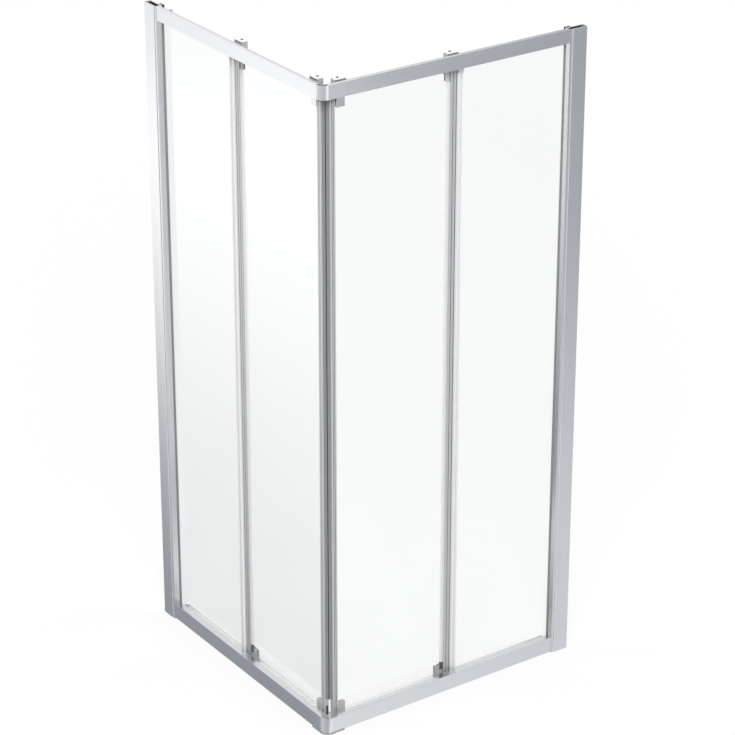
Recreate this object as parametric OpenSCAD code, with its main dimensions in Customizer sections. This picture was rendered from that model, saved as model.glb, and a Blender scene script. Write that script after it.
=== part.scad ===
// Corner shower enclosure: two panels at a right angle, each with a fixed glass by the wall
// and a door that slides away from the corner behind it.
// Each panel is drawn in panel coordinates: s runs along the panel from the corner to the wall,
// t runs from the outer face of the wall profile inwards, and z runs up from the tray.

/* [Enclosure] */
// Outside length of each panel, from the corner to the wall
side_l = 875; // [760:1:1000]
// Height from the tray to the top of the profiles
total_h = 1950; // [1700:1:2100]
// Roundness of the curves
facets = 48; // [24:4:96]

/* [Wall profile] */
// Width of the wall profile's outer face
wall_w = 49; // [44:0.5:60]
// Depth of the wall profile, square to the panel
wall_d = 22; // [20:0.5:26]
// Thickness of the wall profile
wall_t = 2; // [1.5:0.1:2.5]
// Height of the lowest wall screw above the tray
wall_screw_low = 150; // [120:5:300]
// Distance of the highest wall screw from the top
wall_screw_top = 150; // [120:5:300]
// Number of wall screws in each profile
wall_screw_count = 3; // [2:1:5]
// Radius of each wall screw hole
wall_screw_r = 3; // [2:0.25:4]

/* [Post] */
// How far the post stands out of the wall profile
post_show = 8; // [4:0.5:12]
// Gap between the post and the wall profile
post_fit = 0.3; // [0.2:0.05:0.5]
// Room left between the post and the back of the wall profile
post_room = 5; // [3:0.5:8]
// Thickness of the post
post_t = 2; // [1.5:0.1:2.2]
// Depth of the glass channel in the post
channel_l = 18; // [14:0.5:22]
// Width of the gasket between the post and the glass
gasket_w = 3; // [2:0.5:7]

/* [Post screws] */
// Radius of the shank
lock_r = 2; // [1.5:0.1:2.2]
// Radius of the head
lock_head_r = 4; // [3.2:0.1:4.5]
// Height of the head
lock_head_h = 2.2; // [1.5:0.1:3]
// Length of the shank
lock_l = 12; // [8:0.5:14]
// Distance from the wall to the screws
lock_in = 20; // [14:0.5:22]
// Distance of the post screws above the wall screws
lock_rise = 30; // [20:1:60]

/* [Glass] */
// Thickness of every pane
glass_t = 5; // [4:0.5:6]
// Gap between a pane and the groove that it stands in
glass_fit = 0.4; // [0.2:0.05:0.6]

/* [Edge seal] */
// Width of the clear strip on the free edge of the fixed glass
seal_w = 8; // [6:0.5:12]
// Thickness of the strip's walls
seal_t = 0.8; // [0.6:0.1:1]
// Thickness of the strip's nose, in front of the glass edge
seal_nose = 3; // [2:0.5:4]
// Length of the lip that reaches towards the door
seal_lip = 2; // [1:0.1:2.2]
// Gap along the rail between the strip and the rear stile
seal_gap = 0.5; // [0.5:0.25:2]

/* [Top rail] */
// Height of the top rail's face
top_h = 40; // [36:0.5:48]
// Distance of both rails' faces behind the wall profile's face
rail_back = 4; // [3:0.25:5]
// Depth of the hollow box at the front of the top rail
box_d = 12; // [10:0.5:14]
// Thickness of both rails' walls
rail_t = 1.6; // [1.2:0.1:2]
// Distance from the top of the rail down to the track
track_drop = 28; // [27:0.5:31]
// Thickness of the track
track_t = 2; // [1.6:0.1:2.4]
// Radius of the ridge that the rollers stand on
ridge_r = 2; // [1.5:0.1:2.2]
// Distance from the door glass to the ridge
ridge_off = 2; // [1.5:0.1:3]
// Distance from the ridge to the rail's inner edge
track_edge = 6.5; // [6:0.1:7]
// Height of the lip at the inner edge
lip_h = 4; // [3:0.1:4.5]
// Width of the groove along the top
groove_w = 1.2; // [0.8:0.1:2]
// Depth of the groove along the top
groove_d = 1; // [0.5:0.1:1.2]

/* [Bottom rail] */
// Height of the bottom rail's face
bottom_h = 49; // [44:0.5:56]
// Height of the channel floor above the rail's underside
floor_h = 25; // [20:0.5:26]
// Height of the rib behind the fixed glass
rib_h = 10; // [8:0.5:12]
// Height of the upstand at the inner edge
upstand_h = 8; // [6:0.5:10]
// Distance from the middle of the door glass to the rail's inner edge
channel_in = 13; // [11:0.5:16]
// Height of the two ribs that guide the door
slot_h = 6; // [5:0.25:7]
// Width of the slot between the two ribs
slot_w = 5; // [4.4:0.1:6]

/* [Corner] */
// Outer radius of the corner joints
corner_r = 25; // [20:0.5:27]
// Length of the tongues that go into the rails
tongue_l = 35; // [25:1:50]
// Gap around each tongue
tongue_fit = 0.2; // [0.1:0.05:0.3]
// Depth of the pocket in the top of the corner joint
pocket_d = 12; // [6:0.5:16]
// Thickness of the walls around the pocket
pocket_t = 2.4; // [1.6:0.1:3]
// Height of the foot, which is the gap under the rails
foot_h = 3; // [2:0.25:5]
// How far the foot stands out past the rails' faces
foot_out = 2; // [1:0.25:2.5]
// Length of the foot's arms along the rails
foot_l = 70; // [50:1:100]
// Depth of the foot's arms
foot_d = 28; // [20:1:40]

/* [Door] */
// Distance from the lead stile's end to the rear stile's end
door_l = 417.5; // [360:0.5:440]
// Gap between the fixed glass and the stiles that pass behind it
pass_gap = 3.8; // [3.4:0.1:5]
// Distance from the stiles' faces to the door glass
stile_front = 7; // [6:0.25:9]
// Depth of the stiles behind the door glass
stile_behind = 2.5; // [2:0.25:4]
// Thickness of the stiles' walls
stile_t = 1.5; // [1.2:0.1:2]
// Width of the lead stile
lead_w = 16.5; // [14:0.5:22]
// Width of the rear stile
rear_w = 29; // [24:0.5:36]
// How far the glass goes into each stile
bite = 12; // [8:0.5:13]
// Gap between the glass and the stiles' slots
bite_fit = 0.1; // [0.05:0.01:0.2]
// Spacing of the two grooves in the lead stile's face
lead_flute_gap = 5; // [3.5:0.25:6]
// Spacing of the two grooves in the rear stile's face
rear_flute_gap = 10.5; // [8:0.5:16]
// Width of those grooves
flute_w = 2; // [0.8:0.1:2.4]
// Depth of those grooves
flute_d = 1; // [0.6:0.1:1.2]
// Space for the magnetic seals between the two lead stiles
magnet_w = 3.5; // [3:0.25:5]
// Gap between the two magnetic seals
magnet_gap = 0.4; // [0.3:0.05:0.6]
// Width of the light bead beside the rear stile
bead_w = 9; // [6:0.5:11]
// Height of the glass's lower edge above the channel floor
door_rise = 12; // [10:0.5:16]
// Distance from the track's underside to the top of the glass
door_drop = 6; // [4:0.5:8]
// Gap between the stiles' feet and the ribs on the channel floor
stile_gap = 2; // [1:0.25:3]
// Height of the magnetic seal's lower end above the glass's lower edge
magnet_rise = 48; // [20:1:60]

/* [Carriers] */
// Length of each carrier along the rail
carrier_l = 36; // [36:0.5:42]
// Distance from the lead stile to the lead carrier
carrier_gap = 3; // [2:0.5:6]
// Distance from the rear stile's end to the rear carrier's end
carrier_end = 0.5; // [0.5:0.5:3]
// Thickness of the carriers' walls
carrier_t = 2.5; // [2:0.1:2.6]
// Gap between the carrier and the rail
carrier_fit = 1; // [0.6:0.1:1.4]
// Depth of the carrier in front of the door glass
carrier_front = 2.5; // [2:0.25:3.5]
// Thickness of the cap
cap_h = 3; // [2:0.25:4]
// Distance from the top of the rail down to the top of the cap
cap_drop = 2; // [2:0.1:3]
// How far the cap stands past the carrier's front
cap_over = 1; // [0.5:0.25:1.5]
// Radius of the cap's corners
cap_r = 3; // [1.5:0.25:4]
// Width of the lead clamp block
lead_clamp_w = 26; // [20:0.5:30]
// Width of the rear clamp block
rear_clamp_w = 13.5; // [12:0.5:24]
// Thickness of the clamp blocks in front of the glass
clamp_t = 3.5; // [3:0.1:4]
// Height of the clamp blocks
clamp_h = 34; // [26:0.5:38]
// Distance from the rail's lower edge to the top of the clamp block
clamp_drop = 6; // [5:0.5:8]
// Distance from the lead stile to the lead clamp block
lead_clamp_gap = 7; // [5:0.5:9]
// Distance from the rear stile to the rear clamp block
rear_clamp_gap = 0.5; // [0.5:0.25:3]
// Thickness of the carriers' plate behind the glass
plate_t = 2; // [1.5:0.1:2.5]
// Height of the rear carrier's boss, which lies behind the rail
rear_boss_h = 16; // [14:0.5:20]
// Gap between the track and the shoulder where a carrier is wider than its arm
link_gap = 5; // [4:0.5:6]
// Radius of the height screws' heads
height_head_r = 3.5; // [2.5:0.1:4]
// Height of the height screws' heads
height_head_h = 1.6; // [1:0.1:1.8]
// Radius of the height screws' shanks
height_r = 2; // [1.5:0.1:2.2]
// Length of the height screws' shanks
height_l = 12; // [8:0.5:14]
// Distance from the carrier's corner end to the height screw
height_in = 13.25; // [8:0.25:13.5]
// Radius of the clamp bolts
bolt_r = 2.5; // [2:0.1:3]
// Radius of the clamp bolts' heads
bolt_head_r = 5; // [4:0.25:6]
// Height of the clamp bolts' heads
bolt_head_h = 2; // [1.5:0.1:3]
// Gap around a clamp bolt in the glass
bolt_glass_gap = 2; // [1:0.25:3]

/* [Rollers] */
// Outer radius of the rollers
roller_r = 8; // [7:0.1:8.2]
// Depth of the groove in the rollers' rims
rim_d = 1.4; // [1:0.1:1.5]
// Width of the rollers
roller_w = 7; // [6:0.25:7.5]
// Gap between a roller and the ridge
roller_gap = 0.3; // [0.2:0.05:0.4]
// Radius of the axles
axle_r = 2.5; // [2:0.1:3]
// Radial clearance of the rollers on their axles
axle_fit = 0.05; // [0.03:0.01:0.1]
// Radial clearance of pins, bolts and screws in the pieces that hold them
hold_fit = 0.02; // [0.01:0.01:0.05]
// Radius of the rollers' hubs
hub_r = 4.5; // [4:0.25:5]
// Gap at each end of a hub
hub_gap = 0.4; // [0.3:0.05:0.6]
// Distance from the carrier's wall end to the roller's middle
roller_in = 11; // [11:0.25:11.25]

/* [Guides] */
// Width of the guides along the rail
guide_w = 26; // [20:0.5:30]
// Gap between each guide and the stile beside it
guide_gap = 0.5; // [0.5:0.25:3]
// Height of the jaws above the glass's lower edge
jaw_h = 31; // [16:0.5:36]
// Thickness of the guides' jaws
jaw_t = 4; // [3:0.25:4.5]
// Gap between the guides' base and the ribs on the channel floor
base_gap = 0.7; // [0.5:0.1:1.5]
// Width of the catch that stands on the rear guide's outer jaw
catch_w = 11.5; // [8:0.5:16]
// Height of that catch
catch_h = 10; // [6:0.5:14]
// Gap between the guide's fin and the slot and its floor
fin_fit = 0.4; // [0.3:0.05:0.5]

/* [Stops] */
// Length of the stops along the rail
stop_l = 8.5; // [6:0.5:16]
// Height of the top stop above the track
top_stop_h = 12; // [10:0.5:16]
// Height of the bottom stop above the stiles' feet
stop_over = 3.5; // [3:0.25:6]
// Distance from the stops to the post
stop_gap = 1.5; // [1:0.5:6]

/* [Hidden] */
$fn = facets;
// Small overshoot that lets a cut pass right through
eps = 1;

// Places along t, from the outside inwards
fixed_t0 = wall_d + post_fit + post_t + glass_fit;
fixed_t1 = fixed_t0 + glass_t;
stile_t0 = fixed_t1 + pass_gap;
door_t0 = stile_t0 + stile_front;
door_t1 = door_t0 + glass_t;
door_mid = (door_t0 + door_t1) / 2;
stile_t1 = door_t1 + stile_behind;
ridge_t = door_t1 + ridge_off;
track_in = ridge_t + track_edge;
floor_in = door_mid + channel_in;
rib_t0 = fixed_t1 + glass_fit;
rib_t1 = rib_t0 + rail_t;
ledge_in = fixed_t0 - glass_fit;

// Places along s, from the corner to the wall
wall_s0 = side_l - wall_w;
post_s0 = wall_s0 - post_show;
post_s1 = side_l - wall_t - post_room;
corner_s = rail_back + corner_r;
lead_s0 = stile_t1 + magnet_w;
lead_s1 = lead_s0 + lead_w;
rear_s1 = lead_s0 + door_l;
rear_s0 = rear_s1 - rear_w;
fixed_s0 = rear_s1 + seal_gap + seal_nose;
fixed_s1 = post_s0 + channel_l - glass_fit;
stop_s1 = post_s0 - stop_gap;
stop_s0 = stop_s1 - stop_l;
lead_carrier_s = lead_s1 + carrier_gap;
rear_carrier_s = rear_s1 - carrier_end - carrier_l;
lead_clamp_s = lead_s1 + lead_clamp_gap;
rear_clamp_s = rear_s0 - rear_clamp_gap - rear_clamp_w;
lead_guide_s = lead_s1 + guide_gap;
rear_guide_s = rear_s0 - guide_gap - guide_w;

// Heights
bottom_z1 = foot_h + bottom_h;
floor_z = foot_h + floor_h;
top_z0 = total_h - top_h;
track_z = total_h - track_drop;
ridge_z = track_z + ridge_r;
glass_z0 = floor_z + door_rise;
glass_z1 = track_z - track_t - door_drop;
jaw_z1 = glass_z0 + jaw_h;
rib_z = floor_z + slot_h;
stile_z0 = rib_z + stile_gap;
stile_z1 = top_z0 - rail_t;
cap_z1 = total_h - cap_drop;
cap_z0 = cap_z1 - cap_h;
roller_z = ridge_z + roller_gap + roller_r - rim_d;
carrier_z0 = max(ridge_z, track_z + lip_h) + carrier_fit;
clamp_z1 = top_z0 - clamp_drop;
clamp_z0 = clamp_z1 - clamp_h;
link_z1 = track_z - track_t - link_gap;
carrier_t0 = door_t0 - carrier_front;
arm_t0 = track_in + carrier_fit;
arm_t1 = arm_t0 + carrier_t;

// Each clamp's place along s, its width and the underside of its boss
lead_hold = [lead_clamp_s, lead_clamp_w, clamp_z0];
rear_hold = [rear_clamp_s, rear_clamp_w, clamp_z1 - rear_boss_h];
function bolt_s(hold) = hold[0] + hold[1] / 2;
function bolt_z(hold) = (hold[2] + clamp_z1) / 2;

// Places of the roller and of the height screw in the carrier that starts at a given place
function roller_s(at) = at + carrier_l - roller_in;
function screw_s(at) = at + height_in;

// Panel coordinates to the enclosure's own frame, whose origin is under the middle of its square
module front() {
  translate([-side_l / 2, -side_l / 2, 0]) children();
}

module side() {
  mirror([1, -1, 0]) front() children();
}

// A box, an upright extrusion, an extrusion along the rail and a round bar across the panel
module block(s0, s1, t0, t1, z0, z1) {
  translate([s0, t0, z0]) cube([s1 - s0, t1 - t0, z1 - z0]);
}

module rect(x0, x1, y0, y1) {
  translate([x0, y0]) square([x1 - x0, y1 - y0]);
}

module upright(z0, z1) {
  translate([0, 0, z0]) linear_extrude(z1 - z0) children();
}

module along(s0, s1) {
  translate([s0, 0, 0]) rotate([90, 0, 90]) linear_extrude(s1 - s0) children();
}

module bar(s, z, t0, t1, r) {
  translate([s, t0, z]) rotate([-90, 0, 0]) cylinder(h = t1 - t0, r = r);
}

module peg(s, t, z0, z1, r) {
  translate([s, t, z0]) cylinder(h = z1 - z0, r = r);
}

// Heights of the wall screws, spread evenly
function wall_screw_z(i) =
  wall_screw_low + i * (total_h - wall_screw_top - wall_screw_low) / (wall_screw_count - 1);

module wall_profile() {
  color("silver") difference() {
    upright(0, total_h) difference() {
      rect(wall_s0, side_l, 0, wall_d);
      rect(wall_s0 - eps, side_l - wall_t, wall_t, wall_d - wall_t);
    }
    for (i = [0 : wall_screw_count - 1]) {
      translate([side_l - wall_t - eps, wall_d / 2, wall_screw_z(i)]) rotate([0, 90, 0])
        cylinder(h = wall_t + 2 * eps, r = wall_screw_r);
      bar(side_l - lock_in, wall_screw_z(i) + lock_rise, wall_d - wall_t - eps, wall_d + eps,
        lock_r + post_fit);
    }
  }
}

module post() {
  color("silver") difference() {
    upright(0, total_h) {
      difference() {
        rect(post_s0, post_s1, wall_t + post_fit, wall_d - wall_t - post_fit);
        rect(post_s0 + post_t, post_s1 - post_t, wall_t + post_fit + post_t,
          wall_d - wall_t - post_fit - post_t);
      }
      rect(post_s0, wall_s0 - post_fit, wall_d - wall_t - post_fit - post_t, wall_d + post_fit + post_t);
      rect(post_s0, post_s0 + channel_l + post_t, wall_d + post_fit, wall_d + post_fit + post_t);
      rect(post_s0 + channel_l, post_s0 + channel_l + post_t, wall_d + post_fit, rib_t0 + post_t);
      rect(post_s0, post_s0 + channel_l + post_t, rib_t0, rib_t0 + post_t);
    }
    for (i = [0 : wall_screw_count - 1])
      bar(side_l - lock_in, wall_screw_z(i) + lock_rise, wall_d / 2, wall_d - wall_t, lock_r + hold_fit);
  }
}

module post_gasket() {
  color("dimgray") upright(bottom_z1, top_z0)
    polygon([
      [post_s0 - gasket_w, fixed_t0],
      [post_s0 - gasket_w, fixed_t0 - glass_fit - post_t],
      [post_s0, wall_d - post_t],
      [post_s0, fixed_t0]
    ]);
}

module fixed_glass() {
  color("lightcyan", 0.4)
    block(fixed_s0, fixed_s1, fixed_t0, fixed_t1, floor_z, track_z - track_t - glass_fit);
}

module edge_seal() {
  color("whitesmoke", 0.6) upright(bottom_z1 + glass_fit, top_z0 - glass_fit) {
    difference() {
      rect(fixed_s0 - seal_nose, fixed_s0 - seal_nose + seal_w, fixed_t0 - seal_t, fixed_t1 + seal_t);
      rect(fixed_s0, fixed_s0 + seal_w, fixed_t0, fixed_t1);
    }
    rect(fixed_s0 - seal_nose, fixed_s0 - seal_nose + seal_t, fixed_t1, fixed_t1 + seal_t + seal_lip);
  }
}

module top_rail_section() {
  difference() {
    union() {
      rect(rail_back, rail_back + box_d, top_z0, total_h);
      rect(rail_back, ledge_in, top_z0, track_z);
      rect(rail_back, track_in, track_z - track_t, track_z);
      rect(rib_t0, rib_t1, top_z0, track_z);
      rect(track_in - rail_t, track_in, track_z - track_t, track_z + lip_h);
      intersection() {
        translate([ridge_t, track_z]) circle(r = ridge_r);
        rect(ridge_t - ridge_r, ridge_t + ridge_r, track_z - track_t / 2, ridge_z + eps);
      }
    }
    rect(rail_back + rail_t, rail_back + box_d - rail_t, top_z0 + rail_t, total_h - rail_t);
    rect(rail_back + box_d, ledge_in - rail_t, top_z0 + rail_t, track_z - track_t);
    rect(rail_back + box_d - rail_t - groove_w, rail_back + box_d - rail_t, total_h - groove_d,
      total_h + eps);
  }
}

module bottom_rail_section() {
  difference() {
    union() {
      rect(rail_back, ledge_in, foot_h, bottom_z1);
      rect(rail_back, floor_in, foot_h, floor_z);
      rect(rib_t0, rib_t1, foot_h, floor_z + rib_h);
      rect(floor_in - rail_t, floor_in, foot_h, floor_z + upstand_h);
      slot_ribs();
    }
    rect(rail_back + rail_t, ledge_in - rail_t, foot_h + rail_t, bottom_z1 - rail_t);
    rect(ledge_in, floor_in - rail_t, foot_h + rail_t, floor_z - rail_t);
  }
}

// The two ribs on the channel floor that keep the door's guides in line
module slot_ribs() {
  for (side_of = [-1, 1])
    translate([door_mid + side_of * (slot_w + rail_t) / 2, floor_z + slot_h / 2 - eps / 2])
      square([rail_t, slot_h + eps], center = true);
}

// The corner's share of a rail: a square for the corner joint, and a mitre behind it
module corner_cut() {
  far = 3 * corner_s;
  upright(-eps, total_h + eps)
    polygon([[-eps, -eps], [corner_s, -eps], [corner_s, corner_s], [far, far], [-eps, far]]);
}

module top_rail() {
  color("silver") difference() {
    along(0, post_s0) top_rail_section();
    corner_cut();
  }
}

module bottom_rail() {
  color("silver") difference() {
    along(0, post_s0) bottom_rail_section();
    corner_cut();
  }
}

module top_stop() {
  color("dimgray") difference() {
    block(stop_s0, stop_s1, carrier_t0, track_in - rail_t - carrier_fit, track_z, track_z + top_stop_h);
    along(stop_s0 - eps, stop_s1 + eps) translate([ridge_t, track_z]) circle(r = ridge_r + tongue_fit);
  }
}

module bottom_stop() {
  color("dimgray") difference() {
    block(stop_s0, stop_s1, stile_t0, stile_t1, floor_z, stile_z0 + stop_over);
    along(stop_s0 - eps, stop_s1 + eps) slot_ribs();
  }
}

module post_screws() {
  color("gainsboro") for (i = [0 : wall_screw_count - 1]) {
    z = wall_screw_z(i) + lock_rise;
    bar(side_l - lock_in, z, wall_d, wall_d + lock_head_h, lock_head_r);
    bar(side_l - lock_in, z, wall_d - lock_l, wall_d + lock_head_h / 2, lock_r);
  }
}

// One quarter of a round tube about the inner corner of the joint
module quarter(r_out, r_in, z0, z1) {
  translate([corner_s, corner_s, 0]) intersection() {
    upright(z0, z1) difference() {
      circle(r = r_out);
      circle(r = r_in);
    }
    translate([-corner_r - eps, -corner_r - eps, z0 - eps])
      cube([corner_r + eps, corner_r + eps, z1 - z0 + 2 * eps]);
  }
}

module both_ways() {
  children();
  mirror([1, -1, 0]) children();
}

module top_corner() {
  color("silver") {
    difference() {
      union() {
        quarter(corner_r, corner_r - box_d, top_z0, total_h);
        translate([corner_s, corner_s, top_z0]) intersection() {
          cylinder(h = track_z - top_z0, r = corner_r);
          translate([-corner_r - eps, -corner_r - eps, 0])
            cube([corner_r + eps, corner_r + eps, top_h]);
        }
      }
      quarter(corner_r - pocket_t, corner_r - box_d + pocket_t, total_h - pocket_d, total_h + eps);
    }
    both_ways() block(corner_s - eps, corner_s + tongue_l, rail_back + rail_t + tongue_fit,
      rail_back + box_d - rail_t - tongue_fit, top_z0 + rail_t + tongue_fit,
      total_h - pocket_d - tongue_fit);
  }
}

module bottom_corner() {
  color("silver") {
    quarter(corner_r, corner_s - ledge_in, foot_h, bottom_z1);
    translate([corner_s, corner_s, foot_h]) intersection() {
      cylinder(h = floor_h, r = corner_r);
      translate([-corner_r - eps, -corner_r - eps, 0]) cube([corner_r + eps, corner_r + eps, floor_h]);
    }
    both_ways() block(corner_s - eps, corner_s + tongue_l, rail_back + rail_t + tongue_fit,
      ledge_in - rail_t - tongue_fit, foot_h + rail_t + tongue_fit, bottom_z1 - rail_t - tongue_fit);
  }
}

module corner_foot() {
  color("dimgray") {
    translate([corner_s, corner_s, 0]) intersection() {
      cylinder(h = foot_h, r = corner_r + foot_out);
      translate([-corner_s, -corner_s, 0]) cube([corner_s, corner_s, foot_h]);
    }
    both_ways() block(corner_s - eps, foot_l, rail_back - foot_out, foot_d, 0, foot_h);
  }
}

module door_glass() {
  color("lightcyan", 0.4) difference() {
    block(lead_s1 - bite, rear_s0 + bite, door_t0, door_t1, glass_z0, glass_z1);
    for (hold = [lead_hold, rear_hold])
      bar(bolt_s(hold), bolt_z(hold), door_t0 - eps, door_t1 + eps, bolt_r + bolt_glass_gap);
  }
}

// A stile's section: two hollow chambers, a slot for the glass and two grooves in the face
module stile_section(s0, s1, slot0, slot1, flute_gap) {
  flute_s = (s0 + s1) / 2;
  difference() {
    rect(s0, s1, stile_t0, stile_t1);
    rect(slot0, slot1, door_t0 - bite_fit, door_t1 + bite_fit);
    rect(s0 + stile_t, s1 - stile_t, stile_t0 + flute_d + stile_t, door_t0 - bite_fit - stile_t);
    for (s = [flute_s - flute_gap / 2, flute_s + flute_gap / 2])
      rect(s - flute_w / 2, s + flute_w / 2, stile_t0 - eps, stile_t0 + flute_d);
  }
}

module lead_stile() {
  color("silver") upright(stile_z0, stile_z1)
    stile_section(lead_s0, lead_s1, lead_s1 - bite, lead_s1 + eps, lead_flute_gap);
}

module rear_stile() {
  color("silver") upright(stile_z0, stile_z1)
    stile_section(rear_s0, rear_s1, rear_s0 - eps, rear_s0 + bite, rear_flute_gap);
}

module magnetic_seal() {
  inset = stile_front / 2;
  slant = magnet_gap / 2;
  near = lead_s0 - magnet_w - inset;
  far = lead_s0 - magnet_w + inset / 2;
  color("gray") upright(glass_z0 + magnet_rise, stile_z1)
    polygon([
      [lead_s0, stile_t0 + inset],
      [near + slant, near - slant],
      [far + slant, far - slant],
      [lead_s0, stile_t1]
    ]);
}

module rear_bead() {
  color("whitesmoke") upright(jaw_z1 + catch_h + fin_fit, clamp_z0 - glass_fit)
    polygon([[rear_s0, stile_t0 + flute_d], [rear_s0, door_t0], [rear_s0 - bead_w, door_t0],
      [rear_s0 - bead_w, door_t0 - flute_d]]);
}

// A roller carrier: housing over the track, arm inside the rail, and boss against the glass
module carrier(at, hold) {
  hold_s0 = hold[0];
  hold_s1 = hold[0] + hold[1];
  boss_z0 = hold[2];
  color("lightgray") difference() {
    union() {
      difference() {
        block(at, at + carrier_l, carrier_t0, arm_t1, carrier_z0, cap_z0);
        block(at + carrier_t, at + carrier_l - carrier_t, carrier_t0 + carrier_t, arm_t0,
          carrier_z0 - eps, cap_z0 + eps);
      }
      block(at, at + carrier_l, arm_t0, arm_t1, clamp_z1, cap_z0);
      block(min(at, hold_s0), max(at + carrier_l, hold_s1), arm_t0, arm_t1, clamp_z1, link_z1);
      block(hold_s0, hold_s1, arm_t0, arm_t1, boss_z0, link_z1);
      block(hold_s0, hold_s1, door_t1, arm_t0 + eps, boss_z0, clamp_z1);
      block(hold_s0, hold_s1, door_t1, door_t1 + plate_t, clamp_z0, clamp_z1);
      peg(screw_s(at), ridge_t, carrier_z0 + carrier_t, cap_z0, height_r + carrier_t / 2);
      block(at + carrier_t / 2, screw_s(at), ridge_t - carrier_t / 2, ridge_t + carrier_t / 2,
        carrier_z0 + carrier_t, cap_z0);
    }
    bar(roller_s(at), roller_z, carrier_t0 - eps, arm_t1 + eps, axle_r + hold_fit);
    peg(screw_s(at), ridge_t, carrier_z0, cap_z0 + eps, height_r + hold_fit);
    bar(bolt_s(hold), bolt_z(hold), door_t1 - eps, arm_t1 + eps, bolt_r + tongue_fit);
  }
}

module cap(at) {
  color("white") difference() {
    upright(cap_z0, cap_z1) {
      difference() {
        rect(at, at + carrier_l, carrier_t0 - cap_over, arm_t1);
        for (s = [at, at + carrier_l - cap_r])
          rect(s, s + cap_r, carrier_t0 - cap_over, carrier_t0 - cap_over + cap_r);
      }
      for (s = [at + cap_r, at + carrier_l - cap_r])
        translate([s, carrier_t0 - cap_over + cap_r]) circle(r = cap_r);
    }
    peg(screw_s(at), ridge_t, cap_z0 - eps, cap_z1 + eps, height_r + tongue_fit);
  }
}

module clamp(hold) {
  color("gainsboro") difference() {
    block(hold[0], hold[0] + hold[1], door_t0 - clamp_t, door_t0, clamp_z0, clamp_z1);
    bar(bolt_s(hold), bolt_z(hold), door_t0 - clamp_t / 2, door_t0 + eps, bolt_r + hold_fit);
  }
}

module height_screws() {
  color("dimgray") for (at = [lead_carrier_s, rear_carrier_s]) {
    difference() {
      peg(screw_s(at), ridge_t, cap_z1, cap_z1 + height_head_h, height_head_r);
      peg(screw_s(at), ridge_t, cap_z1 + height_head_h / 2, total_h, height_r / 2);
    }
    peg(screw_s(at), ridge_t, cap_z1 - height_l, cap_z1 + height_head_h / 4, height_r);
  }
}

module axles() {
  color("gainsboro") for (at = [lead_carrier_s, rear_carrier_s])
    bar(roller_s(at), roller_z, carrier_t0, arm_t1, axle_r);
}

module clamp_bolts() {
  color("gainsboro") for (hold = [lead_hold, rear_hold]) {
    bar(bolt_s(hold), bolt_z(hold), arm_t1, arm_t1 + bolt_head_h, bolt_head_r);
    bar(bolt_s(hold), bolt_z(hold), door_t0 - clamp_t / 2, arm_t1 + bolt_head_h / 2, bolt_r);
  }
}

// The catch on the rear guide's outer jaw, at the end beside the stile
module guide_catch() {
  guide_s1 = rear_guide_s + guide_w;
  color("dimgray")
    block(guide_s1 - catch_w, guide_s1, door_t0 - jaw_t, door_t0, jaw_z1 - eps, jaw_z1 + catch_h);
}

// A guide: two jaws on the glass, a base below it and a fin that runs in the rail's slot
module guide(at) {
  color("dimgray") {
    difference() {
      block(at, at + guide_w, door_t0 - jaw_t, door_t1 + jaw_t, rib_z + base_gap, jaw_z1);
      block(at - eps, at + guide_w + eps, door_t0, door_t1, glass_z0, jaw_z1 + eps);
    }
    block(at, at + guide_w, door_mid - slot_w / 2 + fin_fit, door_mid + slot_w / 2 - fin_fit,
      floor_z + fin_fit, rib_z + base_gap + eps);
  }
}

module rear_guide() {
  guide(rear_guide_s);
  guide_catch();
}

// A roller: grooved wheel between two hubs, bored for its axle
module roller(at) {
  hub_t0 = carrier_t0 + carrier_t + hub_gap;
  hub_t1 = arm_t0 - hub_gap;
  wheel_t0 = ridge_t - roller_w / 2;
  wheel_t1 = ridge_t + roller_w / 2;
  bore_r = axle_r + axle_fit;
  color("white") translate([roller_s(at), 0, roller_z]) rotate([-90, 0, 0]) rotate_extrude()
    polygon([
      [bore_r, hub_t0], [hub_r, hub_t0], [hub_r, wheel_t0], [roller_r, wheel_t0],
      [roller_r - rim_d, ridge_t - ridge_r / 2], [roller_r - rim_d, ridge_t + ridge_r / 2],
      [roller_r, wheel_t1], [hub_r, wheel_t1], [hub_r, hub_t1], [bore_r, hub_t1]
    ]);
}

front() wall_profile();  // front_wall_profile
front() post();  // front_post
front() post_gasket();  // front_post_gasket
front() fixed_glass();  // front_fixed_glass
front() edge_seal();  // front_edge_seal
front() top_rail();  // front_top_rail
front() bottom_rail();  // front_bottom_rail
front() top_stop();  // front_top_stop
front() bottom_stop();  // front_bottom_stop
front() post_screws();  // front_post_screws
side() wall_profile();  // side_wall_profile
side() post();  // side_post
side() post_gasket();  // side_post_gasket
side() fixed_glass();  // side_fixed_glass
side() edge_seal();  // side_edge_seal
side() top_rail();  // side_top_rail
side() bottom_rail();  // side_bottom_rail
side() top_stop();  // side_top_stop
side() bottom_stop();  // side_bottom_stop
side() post_screws();  // side_post_screws
front() top_corner();
front() bottom_corner();
front() corner_foot();
front() door_glass();  // front_door_glass
front() lead_stile();  // front_lead_stile
front() rear_stile();  // front_rear_stile
front() magnetic_seal();  // front_magnetic_seal
front() rear_bead();  // front_rear_bead
front() carrier(lead_carrier_s, lead_hold);  // front_lead_carrier
front() carrier(rear_carrier_s, rear_hold);  // front_rear_carrier
front() cap(lead_carrier_s);  // front_lead_cap
front() cap(rear_carrier_s);  // front_rear_cap
front() clamp(lead_hold);  // front_lead_clamp
front() clamp(rear_hold);  // front_rear_clamp
front() height_screws();  // front_height_screws
front() axles();  // front_axles
front() clamp_bolts();  // front_clamp_bolts
front() guide(lead_guide_s);  // front_lead_guide
front() rear_guide();  // front_rear_guide
front() roller(lead_carrier_s);  // front_lead_roller
front() roller(rear_carrier_s);  // front_rear_roller
side() door_glass();  // side_door_glass
side() lead_stile();  // side_lead_stile
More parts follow.
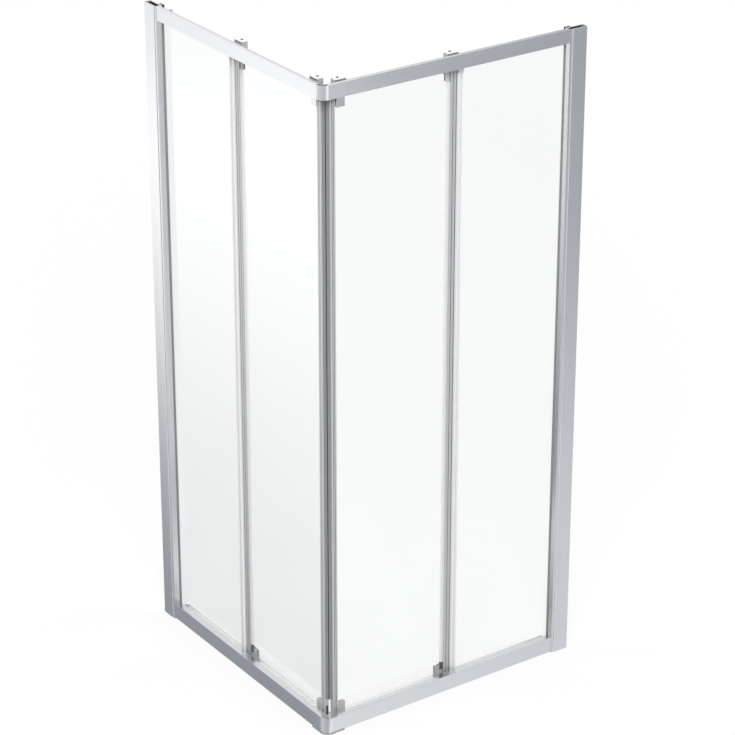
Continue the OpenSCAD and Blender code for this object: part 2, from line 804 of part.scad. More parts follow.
side() rear_stile();  // side_rear_stile
side() magnetic_seal();  // side_magnetic_seal
side() rear_bead();  // side_rear_bead
side() carrier(lead_carrier_s, lead_hold);  // side_lead_carrier
side() carrier(rear_carrier_s, rear_hold);  // side_rear_carrier
side() cap(lead_carrier_s);  // side_lead_cap
side() cap(rear_carrier_s);  // side_rear_cap
side() clamp(lead_hold);  // side_lead_clamp
side() clamp(rear_hold);  // side_rear_clamp
side() height_screws();  // side_height_screws
side() axles();  // side_axles
side() clamp_bolts();  // side_clamp_bolts
side() guide(lead_guide_s);  // side_lead_guide
side() rear_guide();  // side_rear_guide
side() roller(lead_carrier_s);  // side_lead_roller
side() roller(rear_carrier_s);  // side_rear_roller
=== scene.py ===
import math

import bpy
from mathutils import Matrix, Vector


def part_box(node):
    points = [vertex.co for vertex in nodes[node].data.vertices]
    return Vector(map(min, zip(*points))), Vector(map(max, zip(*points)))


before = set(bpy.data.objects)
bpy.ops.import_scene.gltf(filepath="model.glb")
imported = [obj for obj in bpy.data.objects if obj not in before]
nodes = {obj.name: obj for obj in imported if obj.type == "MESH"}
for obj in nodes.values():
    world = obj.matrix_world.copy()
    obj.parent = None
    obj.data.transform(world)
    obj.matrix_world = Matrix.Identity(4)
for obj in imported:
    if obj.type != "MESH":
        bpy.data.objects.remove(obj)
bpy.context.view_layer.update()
scene = bpy.context.scene

PANELS = ("front", "side")

# The camera of the photograph, worked out from its straight edges
CAMERA_AT = (-4.3311, -6.2223, 4.4224)
CAMERA_LOOKS = (0.5187, 0.7426, -0.4237)
SENSOR = 36.0
FOCAL_PX = 2880.15
PHOTO_PX = 735
CLIP = (0.1, 200)


def place(obj, at, looks):
    """Puts a camera or a lamp into the scene, so that it looks along a direction."""
    scene.collection.objects.link(obj)
    obj.location = at
    obj.rotation_mode = "QUATERNION"
    obj.rotation_quaternion = Vector(looks).to_track_quat("-Z", "Y")


def make_camera():
    data = bpy.data.cameras.new("camera")
    data.sensor_width = SENSOR
    data.lens = FOCAL_PX / PHOTO_PX * SENSOR
    data.clip_start, data.clip_end = CLIP
    cam = bpy.data.objects.new("camera", data)
    place(cam, CAMERA_AT, CAMERA_LOOKS)
    scene.camera = cam


make_camera()


# Shader helpers
class Graph:
    """A material's or the world's node tree, with short calls for the nodes used here."""

    def __init__(self, owner):
        owner.use_nodes = True
        self.tree = owner.node_tree
        self.tree.nodes.clear()

    def node(self, kind, **values):
        n = self.tree.nodes.new(kind)
        for k, v in values.items():
            setattr(n, k, v)
        return n

    def link(self, a, b):
        self.tree.links.new(a, b)

    def feed(self, socket, v):
        """Links another node's output to a socket, or gives the socket a value."""
        if isinstance(v, bpy.types.NodeSocket):
            self.link(v, socket)
        else:
            socket.default_value = v

    def set(self, n, **inputs):
        for k, v in inputs.items():
            self.feed(n.inputs[k.replace("_", " ")], v)
        return n

    def math(self, op, a, b=0.0, c=0.0, clamp=False):
        n = self.node("ShaderNodeMath", operation=op, use_clamp=clamp)
        for socket, v in zip(n.inputs, (a, b, c)):
            self.feed(socket, v)
        return n.outputs[0]

    def lerp(self, fac, a, b):
        """a where fac is 0 and b where it is 1."""
        return self.math("MULTIPLY_ADD", fac, self.math("SUBTRACT", b, a), a)

    def noise(self, size, detail=2.0, rough=0.5, offset=(0, 0, 0), scale=(1, 1, 1)):
        """Noise over the object's own coordinates, stretched by scale on each axis."""
        coord = self.node("ShaderNodeTexCoord")
        m = self.node("ShaderNodeMapping")
        self.link(coord.outputs["Object"], m.inputs["Vector"])
        m.inputs["Scale"].default_value = scale
        m.inputs["Location"].default_value = offset
        n = self.node("ShaderNodeTexNoise")
        self.link(m.outputs["Vector"], n.inputs["Vector"])
        return self.set(n, Scale=size, Detail=detail, Roughness=rough).outputs["Fac"]

    def remap(self, value, lo, hi, a=0.0, b=1.0):
        """Maps a value's range from a to b onto lo to hi, and holds it at both ends."""
        n = self.node("ShaderNodeMapRange")
        for socket, v in zip(n.inputs, (value, a, b, lo, hi)):
            self.feed(socket, v)
        return n.outputs["Result"]

    def blend(self, fac, a, b):
        """Mixes two colours, each a node's output or three numbers."""
        n = self.node("ShaderNodeMix", data_type="RGBA")
        self.link(fac, n.inputs["Factor"])
        for socket, v in ((n.inputs["A"], a), (n.inputs["B"], b)):
            self.feed(socket, v if isinstance(v, bpy.types.NodeSocket) else (*v, 1))
        return n.outputs["Result"]

    def inside(self, *slabs):
        """1 inside every slab, each a direction and the least and the most along it, in the object's coordinates."""
        coord = self.node("ShaderNodeTexCoord").outputs["Object"]
        result = 1.0
        for direction, lo, hi in slabs:
            along = self.node("ShaderNodeVectorMath", operation="DOT_PRODUCT")
            self.link(coord, along.inputs[0])
            along.inputs[1].default_value = direction
            hit = self.math("COMPARE", along.outputs["Value"], (lo + hi) / 2, (hi - lo) / 2)
            result = self.math("MULTIPLY", hit, result)
        return result

    def ramp(self, value, stops):
        """A tone along a line, through stops of place and tone, each from 0 to 1."""
        n = self.node("ShaderNodeValToRGB")
        self.link(value, n.inputs["Fac"])
        points = n.color_ramp.elements
        points[0].color = (*[stops[0][1]] * 3, 1)
        points[1].color = (*[stops[-1][1]] * 3, 1)
        for at, tone in stops[1:-1]:
            points.new(at).color = (tone, tone, tone, 1)
        return n.outputs["Color"]

    def bump(self, height, strength, distance, normal=None):
        n = self.node("ShaderNodeBump")
        self.link(height, n.inputs["Height"])
        n.inputs["Strength"].default_value = strength
        n.inputs["Distance"].default_value = distance
        if normal is not None:
            self.link(normal, n.inputs["Normal"])
        return n.outputs["Normal"]

    def surface(self, socket, kind="ShaderNodeOutputMaterial"):
        self.link(socket, self.node(kind).inputs["Surface"])


def new_material(name):
    m = bpy.data.materials.new(name)
    return m, Graph(m)


def tint(color, factor):
    return tuple(min(1.0, c * factor) for c in color)


def streaks(across, along, run):
    """Scales for a noise that is drawn out along an axis (0, 1 or 2)."""
    scale = [across] * 3
    scale[run] = along
    return scale


# How metallic a dull part of a profile still is. The dull parts are the zones of painted light
DULLED = 0.35


def extruded_metal(name, color, rough, run, streak=0.05, zones=(), metallic=1.0, dull=()):
    """Satin anodised aluminium with faint die lines along the run axis (0, 1 or 2), zones of other tones, most of
    them painted light or painted shade, and a part that is dull, which goes with painted light."""
    m, g = new_material(name)
    lines = g.noise(1.0, detail=3.0, rough=0.6, scale=streaks(700.0, 1.5, run))
    bands = g.noise(1.0, offset=(3.1, 1.7, 5.3), scale=streaks(40.0, 0.8, run))
    grain = g.noise(2600.0, detail=1.0)
    clouds = g.noise(6.0, detail=3.0, rough=0.55, offset=(7.0, 2.0, 4.0))
    shade = g.math("MULTIPLY_ADD", lines, 0.5, g.math("MULTIPLY", bands, 0.5))
    base = g.blend(shade, tint(color, 1 - streak), tint(color, 1 + streak))
    base = g.blend(g.math("MULTIPLY", clouds, 0.12), base, tint(color, 0.93))
    for factor, slabs in zones:
        base = g.blend(g.inside(*slabs), base, tint(color, factor))
    # Each share is taken off by half of its reach, so that the mean stays at rough
    r = g.math("MULTIPLY_ADD", lines, 0.10, g.math("MULTIPLY_ADD", clouds, 0.08, rough - 0.09))
    r = g.math("MULTIPLY_ADD", grain, 0.04, g.math("SUBTRACT", r, 0.02))
    p = g.node("ShaderNodeBsdfPrincipled")
    normal = g.bump(lines, 0.05, 0.0002)
    normal = g.bump(grain, 0.04, 0.0001, normal)
    if dull:
        metallic = g.math("MULTIPLY_ADD", g.inside(*dull), DULLED - metallic, metallic)
    g.set(p, Base_Color=base, Metallic=metallic, Roughness=r, Normal=normal)
    g.surface(p.outputs[0])
    return m


def plastic(name, color, rough, coat=0.0, zones=()):
    """Moulded plastic or rubber with a fine matte grain and slight changes of tone, and zones of other tones,
    most of them painted shade.
    """
    m, g = new_material(name)
    grain = g.noise(1500.0, rough=0.6)
    clouds = g.noise(25.0, detail=3.0, offset=(2.0, 5.0, 1.0))
    base = g.blend(clouds, tint(color, 0.94), tint(color, 1.05))
    for factor, slabs in zones:
        base = g.blend(g.inside(*slabs), base, tint(color, factor))
    r = g.math("MULTIPLY_ADD", grain, 0.12, g.math("MULTIPLY_ADD", clouds, 0.1, rough - 0.11))
    p = g.node("ShaderNodeBsdfPrincipled")
    g.set(p, Base_Color=base, Roughness=r, Normal=g.bump(grain, 0.06, 0.0002))
    p.inputs["Coat Weight"].default_value = coat
    g.surface(p.outputs[0])
    return m


def turned_steel(name, color, rough):
    """Bright screw steel with a fine grain and slight stains."""
    m, g = new_material(name)
    grain = g.noise(3000.0, rough=0.6)
    clouds = g.noise(150.0, detail=3.0, rough=0.6)
    base = g.blend(clouds, tint(color, 0.88), tint(color, 1.06))
    r = g.math("MULTIPLY_ADD", clouds, 0.14, rough - 0.07)
    p = g.node("ShaderNodeBsdfPrincipled")
    g.set(p, Base_Color=base, Metallic=1.0, Roughness=r, Normal=g.bump(grain, 0.05, 0.0001))
    g.surface(p.outputs[0])
    return m


# How much light a pane lets through to what lies in its shadow, and how it bends what is seen through it
LET_THROUGH = 0.9
GLASS_IOR = 1.5


def pane_glass(name, color):
    """Clear float glass with faint marks. Lamps shine through it, so that it casts a light shadow."""
    m, g = new_material(name)
    p = g.node("ShaderNodeBsdfPrincipled")
    ripple = g.noise(3.0, rough=0.4)
    marks = g.noise(9.0, detail=4.0, rough=0.6, offset=(1.0, 8.0, 3.0))
    g.set(p, Roughness=g.remap(marks, 0.0, 0.03, 0.55, 0.85), Normal=g.bump(ripple, 0.03, 0.002))
    p.inputs["Base Color"].default_value = (*color, 1)
    p.inputs["IOR"].default_value = GLASS_IOR
    p.inputs["Transmission Weight"].default_value = 1.0
    path = g.node("ShaderNodeLightPath")
    clear = g.node("ShaderNodeBsdfTransparent")
    clear.inputs["Color"].default_value = (LET_THROUGH, LET_THROUGH, LET_THROUGH, 1)
    through = g.math("MAXIMUM", path.outputs["Is Shadow Ray"], path.outputs["Is Diffuse Ray"])
    mix = g.node("ShaderNodeMixShader")
    g.link(through, mix.inputs[0])
    g.link(p.outputs[0], mix.inputs[1])
    g.link(clear.outputs[0], mix.inputs[2])
    g.surface(mix.outputs[0])
    return m


def soft_clear(name, color, cover):
    """Flexible see-through plastic, milky by as much as its cover."""
    m, g = new_material(name)
    lines = g.noise(1.0, scale=streaks(300, 2, run=2))
    p = g.node("ShaderNodeBsdfPrincipled")
    base = g.blend(lines, tint(color, 0.96), tint(color, 1.03))
    g.set(p, Base_Color=base, Roughness=g.remap(lines, 0.24, 0.38), Normal=g.bump(lines, 0.05, 0.0003))
    p.inputs["Alpha"].default_value = cover
    g.surface(p.outputs[0])
    return m


# Directions along each panel and square to it, and which coordinate it runs along
ALONG = {"front": (1, 0, 0), "side": (0, 1, 0)}
ACROSS = {"front": (0, 1, 0), "side": (1, 0, 0)}
UP = (0, 0, 1)
AXIS = {"front": 0, "side": 1}

PROFILE = (0.80, 0.81, 0.83)
STILE = (0.57, 0.58, 0.595)
# Glass tint, with the side panel's pane greyer as painted shade
PANE_TINT_AND_SHADE = {"front": (0.985, 0.995, 0.99), "side": (0.95, 0.965, 0.96)}
GREY = (0.42, 0.425, 0.43)
# The rear clamps' grey, lighter on the front panel as painted light
CLAMP_LIT_AND_SHADED = {"front": (0.60, 0.605, 0.61), "side": (0.42, 0.425, 0.43)}
# The lead clamps' metal, paler on the side panel as a painted reflection
LEAD_CLAMP_LIT_AND_SHADED = {"front": (0.65, 0.655, 0.66), "side": (0.76, 0.765, 0.77)}
SATIN, BRUSHED, MATTE = 0.25, 0.46, 0.42

# Tones of the zones, as shares of a piece's colour. Most of them are painted light or painted shade
# Painted light: the wall profile's lip and the bottom rail's channel are made paler
PAINTED_LIGHT = 1.25
# Painted highlight on the lead stile, stronger on the side panel
LEAD_STILE_HIGHLIGHT = {"front": 1.13, "side": 1.26}
# A paler strip on the rear stile's outer face at its wall-side end
REAR_PALE_STRIP = 1.55
# Painted shade on the stiles' tops, below the top rail
RAIL_SHADE_TONE = 0.80
# Painted shade in the stiles' grooves
GROOVE_SHADE = 0.32
# Painted light at the lead stile's foot on the front panel, painted shade there on the side panel
STILE_FOOT_LIGHT_AND_SHADE = {"front": 1.6, "side": 0.15}
# Painted shade on the front panel's post side, painted light on the side panel's
POST_SIDE_LIGHT_AND_SHADE = {"front": 0.93, "side": 1.22}
# Painted shade on the carriers' front, below the cap
CAP_SHADE_TONE = 0.35
# Painted shade on the lead carrier's side beside the lead clamp
HANGER_SHADE = 0.3
CATCH = 0.2
# Painted shade in the seam between the two magnet strips
MAGNET_SEAM_SHADE = 0.2

# How far a zone reaches out past the face that it starts from, and how deep it goes below a face that it only colours
PAST = 0.001
SKIN = 0.0003

# Sizes and places of the zones
LEAD_STILE_WIDTH = 0.02
REAR_PALE_STRIP_WIDTH = 0.0065
RAIL_SHADE = 0.016
GROOVE_FLOOR = (0.0004, 0.0012)
FOOT_DEPTH = 0.0006
FOOT_ACROSS = (0.0055, 0.0125)
FOOT_BELOW_SEAL = 0.023
WALL_LIP_WIDTH, WALL_LIP_DEPTH = 0.0006, 0.0022
RAIL_BACK = 0.0006
CAP_SHADE_DEPTH, CAP_SHADE_HEIGHT = 0.0007, 0.0045
HANGER_DEPTH = 0.0008
HANGER_UP = (1.8, 1.91)
CATCH_HEIGHT, CATCH_LENGTH = 0.024, 0.0115
MAGNET_GAP_HALF = 0.0019


def from_low(way, low, depth):
    """The slab of a piece from its low face along a direction inwards."""
    return way, low - PAST, low + depth


def to_high(way, high, depth):
    """The slab of a piece from inside it to its high face along a direction."""
    return way, high - depth, high + PAST


def between(way, start, reach):
    """The slab between two depths from a place along a direction."""
    return way, start + reach[0], start + reach[1]


def stile_look(panel):
    """Both stiles of a door: a painted highlight on the lead stile, a paler strip at the rear stile's wall-side end,
    painted shade below the rail and in the grooves, and at the lead stile's foot painted light on the front panel
    and painted shade on the side panel."""
    along, across = ALONG[panel], ACROSS[panel]
    stile_low, stile_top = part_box(f"{panel}_lead_stile")
    face = stile_low[1 - AXIS[panel]]
    lead_end = stile_low[AXIS[panel]]
    rear_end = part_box(f"{panel}_rear_stile")[1][AXIS[panel]]
    rail_shade_band = (UP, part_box(f"{panel}_lead_clamp")[1][2] - RAIL_SHADE, stile_top[2])
    foot_of_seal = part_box(f"{panel}_magnetic_seal")[0][2] - FOOT_BELOW_SEAL
    return extruded_metal("satin_stile_" + panel, STILE, BRUSHED, 2, metallic=0.5, zones=(
        (LEAD_STILE_HIGHLIGHT[panel], [from_low(along, lead_end, LEAD_STILE_WIDTH)]),
        (REAR_PALE_STRIP, [to_high(along, rear_end, REAR_PALE_STRIP_WIDTH), from_low(across, face, SKIN)]),
        (RAIL_SHADE_TONE, [rail_shade_band]),
        (GROOVE_SHADE, [between(across, face, GROOVE_FLOOR)]),
        (STILE_FOOT_LIGHT_AND_SHADE[panel], [from_low(along, lead_end, FOOT_DEPTH), (UP, 0.0, foot_of_seal),
                             between(across, face, FOOT_ACROSS)])))


def wall_look(panel):
    """The wall profile, with painted light on a dull lip beside the post: the lip is made paler."""
    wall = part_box(f"{panel}_wall_profile")[0]
    lip = [from_low(ALONG[panel], wall[AXIS[panel]], WALL_LIP_WIDTH),
           from_low(ACROSS[panel], wall[1 - AXIS[panel]], WALL_LIP_DEPTH)]
    return extruded_metal("satin_wall_" + panel, PROFILE, SATIN, 2, zones=((PAINTED_LIGHT, lip),), dull=lip)


def post_look(panel):
    """The post, whose side towards the corner is darker on the front panel as painted shade and paler on the side
    panel as painted light.
    """
    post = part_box(f"{panel}_post")[0][AXIS[panel]]
    side = [from_low(ALONG[panel], post, SKIN)]
    return extruded_metal("satin_post_" + panel, PROFILE, SATIN, 2, zones=((POST_SIDE_LIGHT_AND_SHADE[panel], side),))


def channel_look(panel):
    """The bottom rail, dull and made paler as painted light in the channel behind the fixed glass."""
    channel = [(ACROSS[panel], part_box(f"{panel}_fixed_glass")[0][1 - AXIS[panel]] - PAST,
                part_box(f"{panel}_bottom_rail")[1][1 - AXIS[panel]] - RAIL_BACK)]
    return extruded_metal("satin_rail_" + panel, PROFILE, SATIN, AXIS[panel], zones=((PAINTED_LIGHT, channel),),
                          dull=channel)


def carrier_looks(panel):
    """The lead and the rear carrier, with painted shade below the cap, and on the lead one painted shade beside the
    lead clamp.
    """
    front_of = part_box(f"{panel}_lead_carrier")[0][1 - AXIS[panel]]
    lead_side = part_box(f"{panel}_lead_clamp")[0][AXIS[panel]]
    cap_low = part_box(f"{panel}_lead_cap")[0][2]
    cap_shade = (CAP_SHADE_TONE, [from_low(ACROSS[panel], front_of, CAP_SHADE_DEPTH), to_high(UP, cap_low, CAP_SHADE_HEIGHT)])
    hanger_shade = (HANGER_SHADE, [from_low(ALONG[panel], lead_side, HANGER_DEPTH), (UP, *HANGER_UP)])
    return (plastic("grey_lead_carrier_" + panel, GREY, MATTE, zones=(cap_shade, hanger_shade)),
            plastic("grey_carrier_" + panel, GREY, MATTE, zones=(cap_shade,)))


def rear_guide_look(panel):
    """The rear guide, with its dark catch."""
    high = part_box(f"{panel}_rear_guide")[1]
    catch = [to_high(UP, high[2], CATCH_HEIGHT), to_high(ALONG[panel], high[AXIS[panel]], CATCH_LENGTH)]
    return plastic("grey_guide_" + panel, GREY, MATTE, zones=((CATCH, catch),))


M = {}
for panel in PANELS:
    M["rail_" + panel] = extruded_metal("satin_profile_" + "xy"[AXIS[panel]], PROFILE, SATIN, AXIS[panel])
    M["stile_" + panel] = stile_look(panel)
    M["wall_" + panel] = wall_look(panel)
    M["post_" + panel] = post_look(panel)
    M["channel_" + panel] = channel_look(panel)
    M["glass_" + panel] = pane_glass("clear_glass_" + panel, PANE_TINT_AND_SHADE[panel])
    M["lead_carrier_" + panel], M["rear_carrier_" + panel] = carrier_looks(panel)
    M["rear_guide_" + panel] = rear_guide_look(panel)
    M["bright_clamp_" + panel] = extruded_metal("bright_clamp_" + panel, LEAD_CLAMP_LIT_AND_SHADED[panel], SATIN, 2, 0.03)
    M["clamp_" + panel] = plastic("grey_clamp_" + panel, CLAMP_LIT_AND_SHADED[panel], 0.35)
M["cast"] = extruded_metal("satin_joint", PROFILE, 0.19, 2, 0.02)
M["clear_seal"] = soft_clear("clear_seal", (0.96, 0.965, 0.965), 0.6)
M["bead"] = soft_clear("milky_bead", (0.94, 0.945, 0.95), 0.7)
M["gasket"] = plastic("dark_gasket", (0.26, 0.26, 0.265), 0.5)
# Magnet strips, with painted shade in the seam between them
M["magnet"] = plastic("grey_magnet_strip", (0.25, 0.252, 0.258), 0.45, zones=(
    (MAGNET_SEAM_SHADE, [((1, -1, 0), -MAGNET_GAP_HALF, MAGNET_GAP_HALF)]),))
M["grey_plastic"] = plastic("grey_plastic", GREY, MATTE)
M["foot"] = plastic("grey_foot", (0.34, 0.345, 0.35), 0.5)
M["cap"] = plastic("pale_cap", (0.86, 0.865, 0.87), 0.2, coat=0.5)
M["guide"] = plastic("pale_guide", (0.48, 0.485, 0.49), MATTE)
M["steel"] = turned_steel("screw_steel", (0.42, 0.42, 0.43), 0.3)
M["dark_steel"] = turned_steel("dark_screw_steel", (0.12, 0.12, 0.125), 0.35)
M["roller"] = plastic("white_roller", (0.82, 0.82, 0.80), 0.3)

# Which look each of a panel's pieces has, with the panel's name in place of the word panel
LOOK = {
    "wall_profile": "wall_panel", "post": "post_panel", "post_gasket": "gasket",
    "fixed_glass": "glass_panel", "edge_seal": "clear_seal", "top_rail": "rail_panel",
    "bottom_rail": "channel_panel", "top_stop": "grey_plastic", "bottom_stop": "grey_plastic",
    "post_screws": "steel", "door_glass": "glass_panel", "lead_stile": "stile_panel",
    "rear_stile": "stile_panel", "magnetic_seal": "magnet", "rear_bead": "bead",
    "lead_carrier": "lead_carrier_panel", "rear_carrier": "rear_carrier_panel", "lead_cap": "cap",
    "rear_cap": "cap", "lead_clamp": "bright_clamp_panel", "rear_clamp": "clamp_panel",
    "height_screws": "dark_steel", "axles": "steel", "clamp_bolts": "steel",
    "lead_guide": "guide", "rear_guide": "rear_guide_panel",
    "lead_roller": "roller", "rear_roller": "roller",
}


def dress(node, look):
    data = nodes[node].data
    data.materials.clear()
    data.materials.append(M[look])


SHARP = math.radians(35.0)
ROUND_SEGMENTS = 2
WELD = 0.00001


def round_edges(node, width):
    """Breaks a CAD node's sharp edges with a small radius."""
    o = nodes[node]
    w = o.modifiers.new("weld", "WELD")
    w.merge_threshold = WELD
    b = o.modifiers.new("bevel", "BEVEL")
    b.width = width
    b.segments = ROUND_SEGMENTS
    b.limit_method = "ANGLE"
    b.angle_limit = SHARP
    b.use_clamp_overlap = True
    n = o.modifiers.new("normals", "WEIGHTED_NORMAL")
    n.keep_sharp = False


JOINT_EDGE = 0.0005
EDGE = {
    "wall_profile": 0.0005, "post": 0.0004, "top_rail": 0.0005, "bottom_rail": 0.0005,
    "lead_stile": 0.0004, "rear_stile": 0.0004, "lead_cap": 0.0006, "rear_cap": 0.0006,
    "lead_clamp": 0.0012, "rear_clamp": 0.0012, "lead_guide": 0.0006, "rear_guide": 0.0006,
    "lead_carrier": 0.0005, "rear_carrier": 0.0005, "top_stop": 0.0008, "bottom_stop": 0.0008,
}
for panel in PANELS:
    for part, look in LOOK.items():
        dress(f"{panel}_{part}", look.replace("panel", panel))
    for part, width in EDGE.items():
        round_edges(f"{panel}_{part}", width)
for part, look in (("top_corner", "cast"), ("bottom_corner", "cast"), ("corner_foot", "foot")):
    dress(part, look)
    round_edges(part, JOINT_EDGE)

# The studio
GROUND = -0.0002
FLOOR_HALF = 60.0
FLOOR_GREY = (0.165, 0.165, 0.165)
WHITE = (1.0, 1.0, 1.0)
BLACK = (0.0, 0.0, 0.0)
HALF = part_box("front_wall_profile")[1][0]

# What the metal shows of the floor: the left's and the right's tone by distance along x, and the tone round the
# corner by bearing. A bearing starts at the corner, is 0 straight away from the object and grows towards the left.
# The left's tone also falls by y, and the corner's rises by distance from the middle.
TONE_GAIN = 2.0
LEFT_TONES = ((0.0, 0.175), (0.07, 0.19), (0.20, 0.25), (0.40, 0.455), (0.67, 0.71), (0.87, 0.67), (1.0, 0.66))
RIGHT_TONES = ((0.0, 0.86), (0.27, 0.74), (0.42, 0.72), (0.65, 0.61), (0.96, 0.44), (1.0, 0.43))
CORNER_TONES = ((0.0, 0.50), (0.10, 0.46), (0.18, 0.42), (0.27, 0.375), (0.36, 0.355), (0.45, 0.355), (0.53, 0.33),
                (0.60, 0.31), (0.67, 0.315), (0.73, 0.345), (0.80, 0.42), (0.87, 0.52), (0.93, 0.62), (1.0, 0.66))
LEFT_X = (-0.3, -3.5)
RIGHT_X = (-0.4, 3.0)
LEFT_END, RIGHT_END = math.radians(100), math.radians(-80)
LEFT_BLEND = math.radians(72), math.radians(104)
RIGHT_BLEND = math.radians(-73), math.radians(-78)
CORNER_AT = HALF - 0.014
LEFT_FADE, LEFT_FADE_Y = (1.0, 0.76), (3.9, 5.45)
RING_RISE, RING_RISE_R = (0.85, 1.0), (0.9, 2.5)

# What the metal shows of the floor inside the enclosure, from its front half to its side half, out to a radius
SHOWER_TONES, SHOWER_TURN = (0.42, 0.86), (-0.4, 0.4)
SHOWER_R = (0.3, 0.55)
SHOWER_LOW = -HALF + 0.0275

# What a straight view shows of the floor, by radius, and what lights the object from it
SEEN_FLOOR, SEEN_FLOOR_R = (0.81, 0.885), (1.5, 6.0)
FLOOR_LIGHT = 0.45
COOL = (0.86, 0.94, 1.08)

# What mirrors show of the world: high and low behind the object, where the two meet, and the rest
SKY_HIGH, SKY_HIGH_UP = (1.28, 0.45), (0.53, 0.9)
SKY_LOW, SKY_LOW_TURN = (0.62, 1.25), (1.25, 1.40)
SKY_MEETS_UP = (0.38, 0.48)
SKY_ELSEWHERE = 0.58
SKY_BEHIND = (-0.5, 0.1)
ROOM_LIGHT = 0.62
ROOM_WHITE = 1.0


def ray_kinds(g):
    """Rays that see the floor straight or through a pane only, and rays that a mirror sent."""
    path = g.node("ShaderNodeLightPath")
    mirrored = g.math("GREATER_THAN", path.outputs["Glossy Depth"], 0.5)
    through = g.math("MULTIPLY", path.outputs["Is Transmission Ray"], g.math("SUBTRACT", 1.0, mirrored))
    direct = g.math("MAXIMUM", path.outputs["Is Camera Ray"], through)
    sharp = g.math("MAXIMUM", path.outputs["Is Glossy Ray"], path.outputs["Is Transmission Ray"])
    return direct, g.math("MULTIPLY", sharp, g.math("SUBTRACT", 1.0, direct))


def mirrored_floor(g, x, y, r):
    """The tone that mirrors show of the floor. On the left it rises away from the object and falls again far behind,
    on the right it falls off slowly, and inside the enclosure it goes from one panel's tone to the other's."""
    far = g.ramp(g.remap(x, 0.0, 1.0, *LEFT_X), LEFT_TONES)
    left_tone = g.math("MULTIPLY", g.math("MULTIPLY", far, TONE_GAIN), g.remap(y, *LEFT_FADE, *LEFT_FADE_Y))
    right_tone = g.ramp(g.remap(x, 0.0, 1.0, *RIGHT_X), RIGHT_TONES)
    turn = g.math("ARCTAN2", g.math("SUBTRACT", y, x), g.math("SUBTRACT", -2 * CORNER_AT, g.math("ADD", x, y)))
    ring = g.ramp(g.remap(turn, 0.0, 1.0, LEFT_END, RIGHT_END), CORNER_TONES)
    seen = g.math("MULTIPLY", g.math("MULTIPLY", ring, TONE_GAIN), g.remap(r, *RING_RISE, *RING_RISE_R))
    for tone, blend in ((left_tone, LEFT_BLEND), (right_tone, RIGHT_BLEND)):
        seen = g.lerp(g.remap(turn, 0.0, 1.0, *blend), seen, tone)
    enclosed = g.inside((ALONG["front"], SHOWER_LOW, HALF), (ALONG["side"], SHOWER_LOW, HALF))
    within = g.math("MULTIPLY", enclosed, g.remap(r, 1.0, 0.0, *SHOWER_R))
    shower = g.remap(g.math("SUBTRACT", y, x), *SHOWER_TONES, *SHOWER_TURN)
    return g.lerp(within, seen, shower)


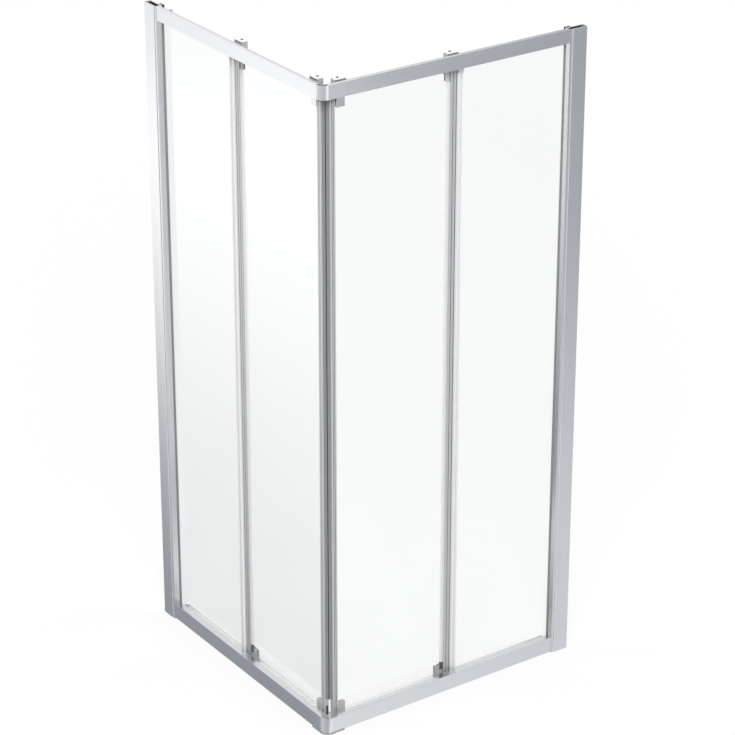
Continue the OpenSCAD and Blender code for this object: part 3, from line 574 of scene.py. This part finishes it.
def make_floor():
    """A wide pale floor. Camera and see-through rays meet it at white, and the lamps' light is part of that, so the
    object's shadow stays. What mirrors show of it is a studio's uneven light, and its darker parts are a little
    bluer."""
    mesh = bpy.data.meshes.new("floor")
    far = FLOOR_HALF
    mesh.from_pydata([(-far, -far, GROUND), (far, -far, GROUND), (far, far, GROUND), (-far, far, GROUND)],
                     [], [(0, 1, 2, 3)])
    floor = bpy.data.objects.new("floor", mesh)
    scene.collection.objects.link(floor)
    m, g = new_material("pale_floor")
    coord = g.node("ShaderNodeTexCoord")
    split = g.node("ShaderNodeSeparateXYZ")
    g.link(coord.outputs["Object"], split.inputs[0])
    x, y = split.outputs[0], split.outputs[1]
    r = g.math("SQRT", g.math("MULTIPLY_ADD", x, x, g.math("MULTIPLY", y, y)))
    seen = mirrored_floor(g, x, y, r)
    direct, mirror = ray_kinds(g)
    white = g.remap(r, *SEEN_FLOOR, *SEEN_FLOOR_R)
    glow = g.lerp(direct, g.lerp(mirror, FLOOR_LIGHT, seen), white)
    shade = g.math("MULTIPLY", g.math("SUBTRACT", 1.0, seen, clamp=True), mirror)
    diffuse = g.node("ShaderNodeBsdfDiffuse")
    g.link(g.blend(mirror, FLOOR_GREY, BLACK), diffuse.inputs["Color"])
    light = g.node("ShaderNodeEmission")
    g.link(g.blend(shade, WHITE, COOL), light.inputs["Color"])
    g.link(glow, light.inputs["Strength"])
    add = g.node("ShaderNodeAddShader")
    g.link(diffuse.outputs[0], add.inputs[0])
    g.link(light.outputs[0], add.inputs[1])
    g.surface(add.outputs[0])
    mesh.materials.append(m)


def make_world():
    """A white room for whatever is seen directly, a softer light for what it lights. Mirrors show it brighter behind
    the object, above all low down."""
    world = bpy.data.worlds.new("studio")
    scene.world = world
    g = Graph(world)
    coord = g.node("ShaderNodeTexCoord")
    split = g.node("ShaderNodeSeparateXYZ")
    g.link(coord.outputs["Generated"], split.inputs[0])
    x, y, up = split.outputs
    direct, mirror = ray_kinds(g)
    high = g.remap(up, *SKY_HIGH, *SKY_HIGH_UP)
    low = g.remap(g.math("DIVIDE", y, x), *SKY_LOW, *SKY_LOW_TURN)
    behind = g.lerp(g.remap(up, 0.0, 1.0, *SKY_MEETS_UP), low, high)
    sky = g.remap(g.math("ADD", x, y), SKY_ELSEWHERE, behind, *SKY_BEHIND)
    back = g.node("ShaderNodeBackground")
    g.link(g.lerp(direct, g.lerp(mirror, ROOM_LIGHT, sky), ROOM_WHITE), back.inputs["Strength"])
    g.surface(back.outputs[0], "ShaderNodeOutputWorld")


# Each lamp's place, the side of its square and its power
LAMPS = {
    "key": ((-3.5, -5.0, 6.5), 3.0, 420),
    "fill": ((5.0, -3.0, 4.0), 3.0, 160),
    "rim": ((-4.5, 3.5, 5.0), 2.5, 160),
}
LAMPS_AIM = Vector((0, 0, 1))


def make_lamp(name, at, side, power):
    """A soft lamp that lights the object and shows as no glare in its metal, straight or through a pane."""
    data = bpy.data.lights.new(name, "AREA")
    data.shape = "RECTANGLE"
    data.size = data.size_y = side
    data.energy = power
    lamp = bpy.data.objects.new(name, data)
    place(lamp, at, LAMPS_AIM - Vector(at))
    lamp.visible_glossy = False
    lamp.visible_transmission = False


make_floor()
make_world()
for name, settings in LAMPS.items():
    make_lamp(name, *settings)

scene.view_settings.view_transform = "Standard"
